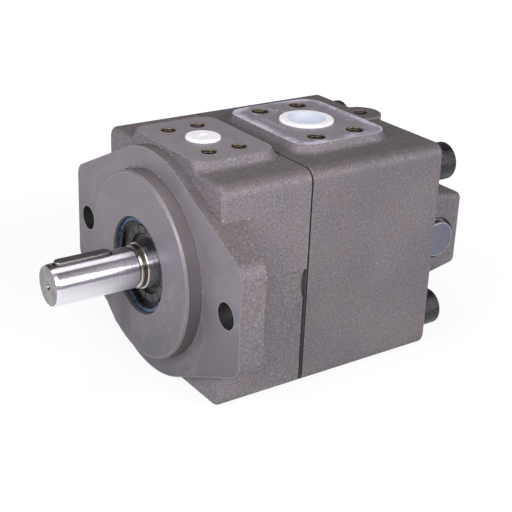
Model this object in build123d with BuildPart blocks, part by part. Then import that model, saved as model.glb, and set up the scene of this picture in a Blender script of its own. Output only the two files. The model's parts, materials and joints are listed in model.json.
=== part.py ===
from build123d import *
import math
import os

# Hydraulic vane pump, millimetres. X runs along the shaft towards the rear, Z is up.
# The origin is the centre of the mounting face; the shaft leaves towards -X.

# ---- mounting flange
pilot_radius = 50.8
pilot_length = 8.3
pilot_groove_depth = 0.5
pilot_groove_width = 1.1
flange_radius = 62.5
flange_thickness = 14.5
mounting_bolt_spacing = 146.0
mounting_hole_radius = 7.0
ear_margin = 12.4
ear_corner_radius = 9.0
ear_corner_height = 22.5
ear_root_radius = 12.0
spotface_radius = 13.5
spotface_depth = 0.6

# ---- body castings
body_half_width = 58.2
body_top_below_flange = 3.0
body_top = flange_radius - body_top_below_flange
body_bottom = -flange_radius
body_corner_radius = 6.5
block_start = 6.6
front_length = 60.0
rear_length = 89.0
rear_face = front_length + rear_length
casting_edge_radius = 2.5
joint_edge_chamfer = 0.5
lower_side_top = 5.8
lower_side_inset = 1.5
pry_slot_half_height = 9.1
pry_slot_depth = 3.0
pry_slot_drop = 2.9
pry_slot_width = 1.8
seam_relief = 0.9
seam_relief_depth = 2.6

# ---- port pads and ports
port_pad_rise = 4.8
port_face_height = body_top + port_pad_rise
discharge_port_setback = 24.6
discharge_x = block_start + discharge_port_setback
discharge_pad_setback = 4.0
discharge_pad_length = front_length - block_start - discharge_pad_setback
discharge_pad_width = 67.0
discharge_pad_draft = 30.0
discharge_pad_corner = 9.0
discharge_root_radius = 3.0
discharge_bore_radius = 6.35
discharge_pitch_x = 18.24
discharge_pitch_y = 40.49
discharge_tap_radius = 3.4
suction_port_setback = 38.6
suction_x = front_length + suction_port_setback
suction_pad_length = 60.5
suction_pad_width = 73.0
suction_pad_corner = 13.0
suction_pad_draft = 20.0
suction_bore_radius = 12.7
suction_pitch_x = 26.19
suction_pitch_y = 52.37
suction_tap_radius = 4.25
port_tap_depth = 15.0
tap_countersink = 0.8
pad_root_radius = 2.5
pad_root = body_top
discharge_pad_run = port_pad_rise * math.tan(math.radians(discharge_pad_draft))

# ---- rear lug with its tapped hole, and rear boss with its gallery plug
lug_setback = 4.5
lug_x = rear_face - lug_setback
lug_y = 8.3
lug_radius = 12.0
lug_rise = 0.8
lug_top = body_top + lug_rise
lug_height = 26.0
lug_tap_radius = 3.3
lug_tap_depth = 13.0
boss_length = 31.0
boss_side_step = 12.2
boss_half_width = body_half_width - boss_side_step
boss_half_height = 21.7
boss_draft = 11.0
boss_edge_radius = 4.0
gallery_setback = 12.5
gallery_x = rear_face + gallery_setback
gallery_z = -2.5
gallery_radius = 4.0
plug_thread_radius = 7.0
plug_thread_length = 9.0
plug_head_radius = 10.5
plug_head_thickness = 4.6
plug_spotface_clearance = 1.9
plug_spotface_depth = 3.0
plug_spotface_y = boss_half_width - plug_spotface_depth
washer_thickness = 1.0

# ---- clamping screws, M14 socket head
screw_side_distance = 11.8
screw_height = 45.0
screw_radius = 7.0
screw_engagement = 33.0
screw_head_sink = 2.0
screw_seat = rear_face - screw_head_sink
screw_length = screw_seat - front_length + screw_engagement
screw_head_radius = 10.5
screw_head_height = 14.0
screw_seat_clearance = 0.4
screw_socket_flats = 12.0
screw_socket_depth = 7.0
screw_hole_clearance = 0.5
thread_clearance = 0.05
screw_bottom_space = 4.0

# ---- drive shaft
shaft_end_x = -59.3
shaft_radius = 11.11
shaft_chamfer = 0.6
shaft_chamfer_length = 1.8
collar_start = -11.5
collar_radius = 11.8
collar_chamfer = 0.9
collar_groove_depth = 0.5
collar_groove_width = 0.9
journal_start = -8.2
journal_radius = 12.5
journal_chamfer = 0.3
shaft_shoulder_radius = 14.3
shaft_shoulder_length = 2.0
middle_radius = 12.3
spline_root_radius = 10.2
spline_tip_radius = 11.6
spline_teeth = 12
spline_tooth_width = 2.6
spline_clearance = 0.12
rear_journal_radius = 10.0
shaft_tail = 2.0
centre_drill_radius = 1.1
centre_drill_depth = 5.0

# ---- shaft key
key_width = 6.35
key_height = 6.35
key_length = 31.4
key_seat_depth = 4.9
key_start_x = -55.6
keyway_end_space = 0.9

# ---- front ball bearing
bearing_outer_radius = 26.0
bearing_bore_radius = journal_radius
bearing_width = 15.0
bearing_start = 3.6
bearing_ring_wall = 4.1
bearing_inner_land = bearing_bore_radius + bearing_ring_wall
bearing_outer_land = bearing_outer_radius - bearing_ring_wall
ball_pitch_radius = (bearing_inner_land + bearing_outer_land) / 2
ball_radius = 3.97
ball_count = 9
ball_clearance = 0.02
race_conformity = 0.12
cage_half_wall = 1.15
cage_inner_radius = ball_pitch_radius - cage_half_wall
cage_outer_radius = ball_pitch_radius + cage_half_wall
cage_width = 9.0
bearing_shoulder_step = 3.8
bearing_shoulder_radius = bearing_outer_radius - bearing_shoulder_step
bearing_shoulder_length = 2.5

# ---- retaining rings
bore_ring_thickness = 2.0
bore_ring_depth = 1.5
bore_ring_width = 3.9
bore_ring_gap = 0.15
shaft_ring_thickness = 1.2
shaft_ring_depth = 0.6
shaft_ring_width = 2.6
ring_lug_radius = 2.5
ring_lug_hole_radius = 1.0
ring_opening_angle = 34.0

# ---- oil seal
seal_front = -6.3
seal_width = 7.0
seal_wall = 2.3
seal_web_front = -1.2
seal_lip_front = -2.0
seal_lip_clearance = 0.03
seal_pad_front = -3.2
seal_pad_inner = journal_radius + 3.9
seal_pad_outer = bearing_outer_radius - 4.9
seal_slot_count = 16
seal_slot_width = 0.8
seal_case_thickness = 0.7
spring_coil_radius = 0.8
spring_centre_x = 0.6
spring_centre_radius = journal_radius + 2.75

# ---- cartridge
cartridge_radius = 41.9
cartridge_clearance = 0.1
cartridge_depth = 19.0
cartridge_start = front_length - cartridge_depth
side_plate_thickness = 14.0
cam_width = 30.0
cam_minor_radius = 27.6
cam_rise = 3.8
rotor_radius = 27.2
rotor_side_clearance = 0.03
vane_count = 12
vane_thickness = 2.0
vane_length = 10.5
vane_tip_radius = 0.9
vane_slot_clearance = 0.05
vane_tip_clearance = 0.05
vane_root_space = 0.9
vane_root_hole_radius = 1.6
vane_first_angle = 15.0
hub_radius = 24.9
hub_clearance = 0.1
hub_front_space = 0.4
hub_land_length = 8.0
plate_shaft_clearance = 0.7
pressure_chamber_radius = 37.0
suction_chamber_radius = 48.0
suction_chamber_depth = 13.0
rear_land_radius = 40.0
kidney_inner_radius = 26.0
kidney_outer_radius = 31.0
kidney_half_angle = 27.0
kidney_blind_depth = 4.0
suction_recess_depth = 6.0
under_vane_radius = 17.5
under_vane_half_width = 1.3
under_vane_depth = 1.5
suction_angle = 135.0
fastener_circle = 36.4
fastener_offset_angle = 18.0
cartridge_screw_radius = 3.0
cartridge_screw_head_radius = 5.0
cartridge_screw_head_height = 6.0
cartridge_screw_engagement = 7.5
cartridge_screw_sink = 0.5
cartridge_socket_flats = 5.0
dowel_radius = 2.5
dowel_depth = 5.0
hole_clearance = 0.3
dowel_clearance = 0.03

# ---- O-rings
plate_seal_setback = 1.8
plate_seal_start = cartridge_start + plate_seal_setback
plate_seal_groove_width = 4.2
plate_seal_depth = 2.3
hub_seal_setback = 2.0
hub_seal_groove_width = 4.2
hub_seal_depth = 2.2
backup_ring_thickness = 1.2
joint_seal_inner_radius = 50.0
joint_seal_groove_width = 3.4
joint_seal_depth = 2.6

# ---- rear needle bearing
needle_shell_radius = 13.0
needle_shell_wall = 0.47
needle_lip_wall = 0.8
needle_bearing_length = 20.0
needle_bearing_setback = 2.0
needle_radius = 1.24
needle_length = 15.0
needle_count = 16
needle_clearance = 0.02
needle_cage_half_wall = 0.45
needle_window_clearance = 0.1
shaft_tail_space = 4.0

# ---- port closure plugs
discharge_cap_radius = 9.4
discharge_cap_thickness = 1.5
discharge_cap_skirt = 11.0
suction_cap_radius = 15.2
suction_cap_thickness = 1.5
suction_cap_skirt = 12.0
suction_cap_opening = 10.7
suction_cap_floor = 1.6
cap_wall = 1.4
cap_bore_clearance = 0.15
cap_dimple_radius = 2.4
cap_dimple_depth = 0.35

# ---- planes and stations that follow from the sizes above
cartridge_plate_end = cartridge_start + side_plate_thickness
cam_end = cartridge_plate_end + cam_width
cartridge_end = cam_end + side_plate_thickness
suction_chamber_end = cartridge_end + suction_chamber_depth
seal_end = seal_front + seal_width
bearing_end = bearing_start + bearing_width
shoulder_end = bearing_end + bearing_shoulder_length
hub_front = shoulder_end + hub_front_space
hub_seal_start = hub_front + hub_seal_setback
hub_bore_radius = hub_radius + hub_clearance
hub_bore_end = shoulder_end + hub_land_length
needle_start = cartridge_end + needle_bearing_setback
needle_end = needle_start + needle_bearing_length
needle_pitch_radius = rear_journal_radius + needle_clearance + needle_radius
shaft_tail_end = needle_end + shaft_tail
blind_bore_end = shaft_tail_end + shaft_tail_space
ear_corner_y = mounting_bolt_spacing / 2 + ear_margin - ear_corner_radius
body_middle = (body_top + body_bottom) / 2
body_height = body_top - body_bottom
screw_y = body_half_width - screw_side_distance
screw_spots = [(y, z) for y in (-screw_y, screw_y) for z in (-screw_height, screw_height)]
mounting_spots = [(-mounting_bolt_spacing / 2, 0), (mounting_bolt_spacing / 2, 0)]
plate_bore_radius = middle_radius + plate_shaft_clearance
rear_plate_bore_radius = spline_root_radius + plate_shaft_clearance
case_bore_radius = cartridge_radius + cartridge_clearance
cam_middle_radius = cam_minor_radius + cam_rise / 2


def cam_radius(angle):
    """Inner radius of the cam ring: largest along Y, smallest along Z."""
    return cam_middle_radius + cam_rise / 2 * math.cos(2 * math.radians(angle))


def on_circle(radius, angle):
    """Point (y, z) at an angle measured from +Y towards +Z."""
    return (radius * math.cos(math.radians(angle)), radius * math.sin(math.radians(angle)))


def turned(profile, mode=Mode.ADD):
    """Turns a closed outline of (x, radius) points about the shaft axis."""
    with BuildSketch(Plane.XZ) as outline:
        with BuildLine():
            Polyline(*profile, close=True)
        make_face()
    revolve(outline.sketch, axis=Axis.X, mode=mode)


def turned_circle(x, radius, section_radius, mode=Mode.ADD):
    """A ring of round section about the shaft axis."""
    with BuildSketch(Plane.XZ) as outline:
        with Locations((x, radius)):
            Circle(section_radius)
    revolve(outline.sketch, axis=Axis.X, mode=mode)


def ring(start, stop, inner, outer, mode=Mode.ADD):
    """A plain ring about the shaft axis."""
    turned([(start, inner), (stop, inner), (stop, outer), (start, outer)], mode)


def rods(spots, radius, start, stop, mode=Mode.ADD):
    """Cylinders along X at (y, z) spots."""
    with BuildSketch(Plane.YZ.offset(start)) as outline:
        with Locations(*spots):
            Circle(radius)
    extrude(outline.sketch, amount=stop - start, mode=mode)


def sector(start, depth, inner, outer, centre_angle, half_angle, mode=Mode.SUBTRACT):
    """A ring sector cut or raised along X from the plane X = start."""
    with BuildSketch(Plane.YZ.offset(start)) as outline:
        with BuildLine():
            far = CenterArc((0, 0), outer, centre_angle - half_angle, 2 * half_angle)
            near = CenterArc((0, 0), inner, centre_angle - half_angle, 2 * half_angle)
            Line(far @ 0, near @ 0)
            Line(far @ 1, near @ 1)
        make_face()
    extrude(outline.sketch, amount=depth, mode=mode)


def tapped_pattern(x, pitch_x, pitch_y, radius):
    """Four upright tapped holes with countersunk mouths in a port face."""
    with BuildSketch(Plane.XY.offset(port_face_height)) as mouths:
        with Locations((x, 0)):
            with GridLocations(pitch_x, pitch_y, 2, 2):
                Circle(radius)
    extrude(mouths.sketch, amount=-port_tap_depth, mode=Mode.SUBTRACT)
    with BuildSketch(Plane.XY.offset(port_face_height)) as sinks:
        with Locations((x, 0)):
            with GridLocations(pitch_x, pitch_y, 2, 2):
                Circle(radius + tap_countersink)
    extrude(sinks.sketch, amount=-tap_countersink, taper=45, mode=Mode.SUBTRACT)


# ============================================================ front body casting
with BuildPart() as front_body:
    # Block that carries the discharge port, down to the plane the pump stands on.
    with BuildSketch(Plane.YZ.offset(block_start)):
        with Locations((0, body_middle)):
            RectangleRounded(2 * body_half_width, body_height, body_corner_radius)
    extrude(amount=front_length - block_start)
    chamfer(front_body.faces().sort_by(Axis.X)[-1].edges(), joint_edge_chamfer)

    # Discharge port pad, drafted towards its machined face and flush with the block in front.
    with BuildSketch(Plane.XY.offset(pad_root)):
        with Locations((block_start + discharge_pad_length / 2, 0)):
            RectangleRounded(
                discharge_pad_length + 2 * discharge_pad_run,
                discharge_pad_width + 2 * discharge_pad_run,
                discharge_pad_corner + discharge_pad_run,
            )
    extrude(amount=port_pad_rise, taper=discharge_pad_draft)
    with BuildSketch(Plane.YZ.offset(block_start)):
        with Locations((0, pad_root)):
            Rectangle(2 * body_half_width, 4 * port_pad_rise)
    extrude(amount=-2 * discharge_pad_run, mode=Mode.SUBTRACT)
    pad_roots = front_body.edges().filter_by_position(Axis.Z, pad_root - 0.01, pad_root + 0.01)
    pad_roots = pad_roots.filter_by_position(
        Axis.Y,
        -discharge_pad_width / 2 - discharge_pad_run - 0.1,
        discharge_pad_width / 2 + discharge_pad_run + 0.1,
    )
    pad_roots = pad_roots.filter_by_position(
        Axis.X, block_start + 0.1, front_length - joint_edge_chamfer - 0.1
    )
    fillet(pad_roots, discharge_root_radius)
    front_rim = front_body.faces().sort_by(Axis.X)[0].edges()
    front_rim = front_rim.filter_by_position(Axis.Z, body_bottom - 1, pad_root + 0.01)
    fillet(front_rim, casting_edge_radius)

    # Mounting flange: a disc and two ears, with the ear roots running back to the block.
    with BuildSketch(Plane.YZ):
        Circle(flange_radius)
        with GridLocations(2 * ear_corner_y, 2 * ear_corner_height, 2, 2):
            Circle(ear_corner_radius)
        make_hull()
    extrude(amount=flange_thickness + ear_root_radius)
    for side in (-1, 1):
        wall = side * body_half_width
        reach = side * 2 * ear_corner_y
        root = flange_thickness + ear_root_radius
        with BuildSketch(Plane.XY.offset(-2 * flange_radius)):
            with BuildLine():
                Line((flange_thickness, wall + side * ear_root_radius), (flange_thickness, reach))
                Line((flange_thickness, reach), (root + 1, reach))
                Line((root + 1, reach), (root + 1, wall))
                Line((root + 1, wall), (root, wall))
                RadiusArc(
                    (root, wall),
                    (flange_thickness, wall + side * ear_root_radius),
                    side * ear_root_radius,
                )
            make_face()
        extrude(amount=4 * flange_radius, mode=Mode.SUBTRACT)

    # Pilot spigot with a chamfered nose and a relief groove round it in the mounting face.
    turned(
        [
            (0, 0),
            (0, pilot_radius),
            (-pilot_length + 1.0, pilot_radius),
            (-pilot_length, pilot_radius - 1.0),
            (-pilot_length, 0),
        ]
    )
    ring(-1, pilot_groove_depth, pilot_radius, pilot_radius + pilot_groove_width, Mode.SUBTRACT)

    # Recessed lower sides, pry slots and relief along the lower half of the joint.
    for side in (-1, 1):
        inner = side * (body_half_width - lower_side_inset)
        outer = side * (body_half_width + 1)
        with BuildSketch(Plane.XY.offset(lower_side_top)):
            with BuildLine():
                Polyline(
                    (flange_thickness + ear_root_radius, inner),
                    (front_length + 1, inner),
                    (front_length + 1, outer),
                    (flange_thickness + ear_root_radius, outer),
                    close=True,
                )
            make_face()
        extrude(amount=-body_height, mode=Mode.SUBTRACT)
        slot_radius = (pry_slot_half_height**2 + pry_slot_depth**2) / (2 * pry_slot_depth)
        slot_centre_x = front_length - pry_slot_depth + slot_radius
        slot_floor = body_half_width - lower_side_inset - pry_slot_width
        with BuildSketch(Plane.XZ.offset(-side * (body_half_width + 1))):
            with Locations((slot_centre_x, -pry_slot_drop)):
                Circle(slot_radius)
        extrude(amount=side * (body_half_width + 1 - slot_floor), mode=Mode.SUBTRACT)
        relief_top = -pry_slot_drop - pry_slot_half_height
        with BuildSketch(Plane.XY.offset(relief_top)):
            with BuildLine():
                Polyline(
                    (front_length - seam_relief, side * (body_half_width - seam_relief_depth)),
                    (front_length + 1, side * (body_half_width - seam_relief_depth)),
                    (front_length + 1, outer),
                    (front_length - seam_relief, outer),
                    close=True,
                )
            make_face()
        extrude(amount=-body_height, mode=Mode.SUBTRACT)

    # Seal and bearing bore, retaining ring groove, bearing shoulder, hub bore,
    # pressure chamber and the bore that locates the cartridge.
    turned(
        [
            (-pilot_length - 1, 0),
            (-pilot_length - 1, bearing_outer_radius + 1.8),
            (-pilot_length, bearing_outer_radius + 0.8),
            (-pilot_length + 0.8, bearing_outer_radius),
            (bearing_end, bearing_outer_radius),
            (bearing_end, bearing_shoulder_radius),
            (shoulder_end, bearing_shoulder_radius),
            (shoulder_end, hub_bore_radius),
            (hub_bore_end, hub_bore_radius),
            (hub_bore_end, pressure_chamber_radius),
            (cartridge_start, pressure_chamber_radius),
            (cartridge_start, case_bore_radius),
            (front_length + 1, case_bore_radius),
            (front_length + 1, 0),
        ],
        Mode.SUBTRACT,
    )
    ring(
        bearing_start - bore_ring_thickness - bore_ring_gap,
        bearing_start,
        bearing_outer_radius - 1,
        bearing_outer_radius + bore_ring_depth,
        Mode.SUBTRACT,
    )
    ring(
        front_length - joint_seal_depth,
        front_length + 1,
        joint_seal_inner_radius,
        joint_seal_inner_radius + joint_seal_groove_width,
        Mode.SUBTRACT,
    )

    # Pockets that lead the suction flow to the front side plate.
    for angle in (suction_angle, suction_angle + 180):
        sector(
            front_length + 1,
            cartridge_plate_end - suction_recess_depth - front_length - 1,
            cartridge_radius - 1,
            suction_chamber_radius,
            angle,
            kidney_half_angle,
        )

    # Mounting holes with spotfaces at the back of the ears.
    rods(mounting_spots, mounting_hole_radius, -1, flange_thickness + 1, Mode.SUBTRACT)
    rods(
        mounting_spots,
        spotface_radius,
        flange_thickness - spotface_depth,
        flange_thickness + 1,
        Mode.SUBTRACT,
    )

    # Tapped holes for the clamping screws.
    rods(
        screw_spots,
        screw_radius + thread_clearance,
        screw_seat - screw_length - screw_bottom_space,
        front_length + 1,
        Mode.SUBTRACT,
    )

    # Discharge port down to the pressure chamber, and its tapped holes.
    with BuildSketch(Plane.XY.offset(port_face_height)):
        with Locations((discharge_x, 0)):
            Circle(discharge_bore_radius)
    extrude(amount=-(port_face_height - hub_bore_radius - 5.0), mode=Mode.SUBTRACT)
    tapped_pattern(discharge_x, discharge_pitch_x, discharge_pitch_y, discharge_tap_radius)
front_body.part.label = "front_body"

# ============================================================ rear body casting
with BuildPart() as rear_body:
    with BuildSketch(Plane.YZ.offset(front_length)):
        with Locations((0, body_middle)):
            RectangleRounded(2 * body_half_width, body_height, body_corner_radius)
    extrude(amount=rear_length)
    fillet(rear_body.faces().sort_by(Axis.X)[-1].edges(), casting_edge_radius)
    chamfer(rear_body.faces().sort_by(Axis.X)[0].edges(), joint_edge_chamfer)

    # Suction port pad, drafted towards its machined face.
    pad_rise = port_face_height - pad_root
    pad_growth = 2 * pad_rise * math.tan(math.radians(suction_pad_draft))
    with BuildSketch(Plane.XY.offset(pad_root)):
        with Locations((suction_x, 0)):
            RectangleRounded(
                suction_pad_length + pad_growth, suction_pad_width + pad_growth, suction_pad_corner
            )
    extrude(amount=pad_rise, taper=suction_pad_draft)
    pad_roots = rear_body.edges().filter_by_position(Axis.Z, pad_root - 0.01, pad_root + 0.01)
    pad_roots = pad_roots.filter_by_position(
        Axis.Y, -suction_pad_width / 2 - pad_growth, suction_pad_width / 2 + pad_growth
    )
    pad_roots = pad_roots.filter_by_position(Axis.X, front_length + 1, rear_face - casting_edge_radius)
    fillet(pad_roots, pad_root_radius)

    # Round lug at the top of the rear face, sloping away underneath.
    with BuildSketch(Plane.XY.offset(lug_top)):
        with Locations((lug_x, lug_y)):
            Circle(lug_radius)
    extrude(amount=-lug_height)
    lug_foot = rear_body.faces().filter_by_position(Axis.Z, lug_top - lug_height - 0.1, lug_top - lug_height + 0.1)
    chamfer(lug_foot.edges().filter_by(GeomType.CIRCLE), (rear_face - lug_x) + 2.5)
    lug_rim = rear_body.faces().filter_by_position(Axis.Z, lug_top - 0.05, lug_top + 0.05)
    fillet(lug_rim.edges().filter_by(GeomType.CIRCLE), 0.7)

    # Rear boss, drafted above and below.
    boss_root = boss_half_height + boss_length * math.tan(math.radians(boss_draft))
    with BuildSketch(Plane.XZ.offset(-boss_half_width)):
        with BuildLine():
            Polyline(
                (rear_face - 1, boss_root),
                (rear_face, boss_root),
                (rear_face + boss_length, boss_half_height),
                (rear_face + boss_length, -boss_half_height),
                (rear_face, -boss_root),
                (rear_face - 1, -boss_root),
                close=True,
            )
        make_face()
    extrude(amount=2 * boss_half_width)
    boss_rim = rear_body.faces().sort_by(Axis.X)[-1]
    boss_sides = rear_body.edges().filter_by_position(
        Axis.X, rear_face + 0.1, rear_face + boss_length - 0.1, inclusive=(False, False)
    )
    boss_sides = boss_sides.filter_by(GeomType.LINE).sort_by(Axis.X)[-4:]
    fillet(boss_rim.edges() + boss_sides, boss_edge_radius)

    # Suction chamber round the cartridge, the land that backs the rear side plate,
    # the needle bearing bore and the blind end of the shaft bore.
    turned(
        [
            (front_length - 1, 0),
            (front_length - 1, suction_chamber_radius),
            (suction_chamber_end, suction_chamber_radius),
            (suction_chamber_end, rear_land_radius),
            (cartridge_end, rear_land_radius),
            (cartridge_end, needle_shell_radius),
            (needle_end + 1, needle_shell_radius),
            (needle_end + 1, spline_root_radius + plate_shaft_clearance),
            (blind_bore_end, spline_root_radius + plate_shaft_clearance),
            (blind_bore_end, 0),
        ],
        Mode.SUBTRACT,
    )

    # Clearance holes for the clamping screws.
    rods(
        screw_spots,
        screw_radius + screw_hole_clearance,
        front_length - 1,
        rear_face + 1,
        Mode.SUBTRACT,
    )
    rods(
        screw_spots,
        screw_head_radius + screw_seat_clearance,
        screw_seat,
        rear_face + 1,
        Mode.SUBTRACT,
    )

    # Suction port and its tapped holes.
    with BuildSketch(Plane.XY.offset(port_face_height)):
        with Locations((suction_x, 0)):
            Circle(suction_bore_radius)
    extrude(amount=-(port_face_height - cartridge_radius - 1.5), mode=Mode.SUBTRACT)
    tapped_pattern(suction_x, suction_pitch_x, suction_pitch_y, suction_tap_radius)

    # Tapped hole in the lug.
    with BuildSketch(Plane.XY.offset(lug_top)):
        with Locations((lug_x, lug_y)):
            Circle(lug_tap_radius)
    extrude(amount=-lug_tap_depth, mode=Mode.SUBTRACT)
    with BuildSketch(Plane.XY.offset(lug_top)):
        with Locations((lug_x, lug_y)):
            Circle(lug_tap_radius + tap_countersink)
    extrude(amount=-tap_countersink, taper=45, mode=Mode.SUBTRACT)

    # Leakage gallery from the shaft bore to the plugged hole in the side of the boss.
    rods([(0, 0)], gallery_radius, blind_bore_end - 1, gallery_x, Mode.SUBTRACT)
    with BuildSketch(Plane.XZ):
        with Locations((gallery_x, gallery_z)):
            Circle(gallery_radius)
    extrude(amount=2 * boss_half_width, mode=Mode.SUBTRACT)
    with BuildSketch(Plane.XZ.offset(plug_spotface_y - plug_thread_length - 2)):
        with Locations((gallery_x, gallery_z)):
            Circle(plug_thread_radius + thread_clearance)
    extrude(amount=2 * boss_half_width, mode=Mode.SUBTRACT)
    with BuildSketch(Plane.XZ.offset(plug_spotface_y)):
        with Locations((gallery_x, gallery_z)):
            Circle(plug_head_radius + plug_spotface_clearance)
    extrude(amount=2 * boss_half_width, mode=Mode.SUBTRACT)
rear_body.part.label = "rear_body"

# ============================================================ clamping screws
with BuildPart() as cap_screws:
    rods(screw_spots, screw_radius, screw_seat - screw_length, screw_seat)
    rods(screw_spots, screw_head_radius, screw_seat, screw_seat + screw_head_height)
    head_rims = cap_screws.edges().filter_by(GeomType.CIRCLE).group_by(Axis.X)[-1]
    fillet(head_rims, 1.0)
    points = cap_screws.edges().filter_by(GeomType.CIRCLE).group_by(Axis.X)[0]
    chamfer(points, 1.0)
    with BuildSketch(Plane.YZ.offset(screw_seat + screw_head_height)):
        with Locations(*screw_spots):
            RegularPolygon(screw_socket_flats / 2, 6, major_radius=False)
    extrude(amount=-screw_socket_depth, mode=Mode.SUBTRACT)
cap_screws.part.label = "cap_screws"

# ============================================================ drive shaft and key
keyway_floor = shaft_radius - key_seat_depth
key_middle_x = key_start_x + key_length / 2
shaft_groove_start = bearing_start - shaft_ring_thickness
shaft_shoulder_end = bearing_end + shaft_shoulder_length
with BuildPart() as drive_shaft:
    turned(
        [
            (shaft_end_x, 0),
            (shaft_end_x, shaft_radius - shaft_chamfer),
            (shaft_end_x + shaft_chamfer_length, shaft_radius),
            (collar_start - collar_groove_width, shaft_radius),
            (collar_start - collar_groove_width, shaft_radius - collar_groove_depth),
            (collar_start, shaft_radius - collar_groove_depth),
            (collar_start + collar_chamfer, collar_radius),
            (journal_start, collar_radius),
            (journal_start, journal_radius - journal_chamfer),
            (journal_start + journal_chamfer, journal_radius),
            (shaft_groove_start, journal_radius),
            (shaft_groove_start, journal_radius - shaft_ring_depth),
            (bearing_start, journal_radius - shaft_ring_depth),
            (bearing_start, bearing_bore_radius),
            (bearing_end, bearing_bore_radius),
            (bearing_end, shaft_shoulder_radius),
            (shaft_shoulder_end, shaft_shoulder_radius),
            (shaft_shoulder_end, middle_radius),
            (cartridge_plate_end - 1, middle_radius),
            (cartridge_plate_end - 1, spline_root_radius),
            (cam_end, spline_root_radius),
            (cam_end, rear_journal_radius),
            (shaft_tail_end - 1, rear_journal_radius),
            (shaft_tail_end, rear_journal_radius - 1),
            (shaft_tail_end, 0),
        ]
    )
    with BuildSketch(Plane.YZ.offset(cartridge_plate_end)):
        with PolarLocations((spline_root_radius + spline_tip_radius) / 2 - 0.5, spline_teeth):
            Rectangle(spline_tip_radius - spline_root_radius + 1, spline_tooth_width)
    extrude(amount=cam_width)
    with BuildSketch(Plane.XY.offset(keyway_floor)):
        with Locations((key_middle_x, 0)):
            SlotOverall(key_length + 2 * keyway_end_space, key_width)
    extrude(amount=shaft_radius, mode=Mode.SUBTRACT)
    turned(
        [
            (shaft_end_x - 1, 0),
            (shaft_end_x - 1, 2 * centre_drill_radius + 1),
            (shaft_end_x + 2 * centre_drill_radius - centre_drill_radius, centre_drill_radius),
            (shaft_end_x + centre_drill_depth, centre_drill_radius),
            (shaft_end_x + centre_drill_depth + centre_drill_radius, 0),
        ],
        Mode.SUBTRACT,
    )
drive_shaft.part.label = "drive_shaft"

with BuildPart() as shaft_key:
    with BuildSketch(Plane.XY.offset(keyway_floor)):
        with Locations((key_middle_x, 0)):
            SlotOverall(key_length, key_width)
    extrude(amount=key_height)
    chamfer(shaft_key.faces().sort_by(Axis.Z)[-1].edges(), 0.35)
shaft_key.part.label = "shaft_key"

# ============================================================ oil seal
seal_bore = journal_radius + seal_lip_clearance
seal_rim_inner = bearing_outer_radius - seal_wall
case_inner = seal_pad_outer - 1.2
case_outer = seal_rim_inner + seal_case_thickness
case_back = seal_end - 0.6
case_front = seal_front + 0.9
case_profile = [
    (case_front, case_outer),
    (case_back, case_outer),
    (case_back, case_inner),
    (case_back - seal_case_thickness, case_inner),
    (case_back - seal_case_thickness, seal_rim_inner),
    (case_front, seal_rim_inner),
]
with BuildPart() as oil_seal:
    turned(
        [
            (seal_front + 0.4, bearing_outer_radius),
            (seal_end, bearing_outer_radius),
            (seal_end, spring_centre_radius + spring_coil_radius + 1),
            (spring_centre_x - spring_coil_radius - 0.1, spring_centre_radius + spring_coil_radius),
            (spring_centre_x - spring_coil_radius - 0.1, spring_centre_radius - spring_coil_radius),
            (spring_centre_x + spring_coil_radius, spring_centre_radius - spring_coil_radius),
            (spring_centre_x + spring_coil_radius, seal_bore + 0.7),
            (spring_centre_x, seal_bore),
            (seal_lip_front, seal_bore + 0.7),
            (seal_lip_front, seal_bore + 1.1),
            (seal_web_front, seal_bore + 1.7),
            (seal_web_front, seal_bore + 2.5),
            (seal_web_front - 0.7, seal_bore + 2.8),
            (seal_web_front - 0.7, seal_bore + 3.1),
            (seal_web_front, seal_bore + 3.4),
            (seal_web_front, seal_pad_inner),
            (seal_pad_front, seal_pad_inner + 0.3),
            (seal_pad_front, seal_pad_outer - 0.4),
            (seal_web_front, seal_pad_outer),
            (seal_web_front, seal_rim_inner),
            (case_front, seal_rim_inner),
            (seal_front, seal_rim_inner + 0.3),
            (seal_front, bearing_outer_radius - 0.4),
        ]
    )
    with BuildSketch(Plane.YZ.offset(seal_pad_front)):
        with PolarLocations((seal_pad_inner + seal_pad_outer) / 2, seal_slot_count):
            Rectangle(seal_pad_outer - seal_pad_inner + 1, seal_slot_width)
    extrude(amount=seal_web_front - seal_pad_front, mode=Mode.SUBTRACT)
    turned(case_profile, Mode.SUBTRACT)
oil_seal.part.label = "oil_seal"

with BuildPart() as seal_case:
    turned(case_profile)
seal_case.part.label = "seal_case"

with BuildPart() as seal_spring:
    turned_circle(spring_centre_x, spring_centre_radius, spring_coil_radius)
seal_spring.part.label = "seal_spring"

# ============================================================ retaining rings
with BuildPart() as bearing_retaining_ring:
    ring_outer = bearing_outer_radius + bore_ring_depth - 0.05
    ring_start = bearing_start - bore_ring_thickness
    with BuildSketch(Plane.YZ.offset(ring_start)):
        Circle(ring_outer)
        Circle(ring_outer - bore_ring_width, mode=Mode.SUBTRACT)
        with BuildLine():
            Polyline(
                (0, 0),
                on_circle(2 * ring_outer, -90 - ring_opening_angle / 2),
                on_circle(2 * ring_outer, -90 + ring_opening_angle / 2),
                close=True,
            )
        make_face(mode=Mode.SUBTRACT)
        lug_spots = [
            on_circle(ring_outer - bore_ring_width, -90 + side * (ring_opening_angle / 2 + 4))
            for side in (-1, 1)
        ]
        with Locations(*lug_spots):
            Circle(ring_lug_radius)
            Circle(ring_lug_hole_radius, mode=Mode.SUBTRACT)
    extrude(amount=bore_ring_thickness)
bearing_retaining_ring.part.label = "bearing_retaining_ring"

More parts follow.
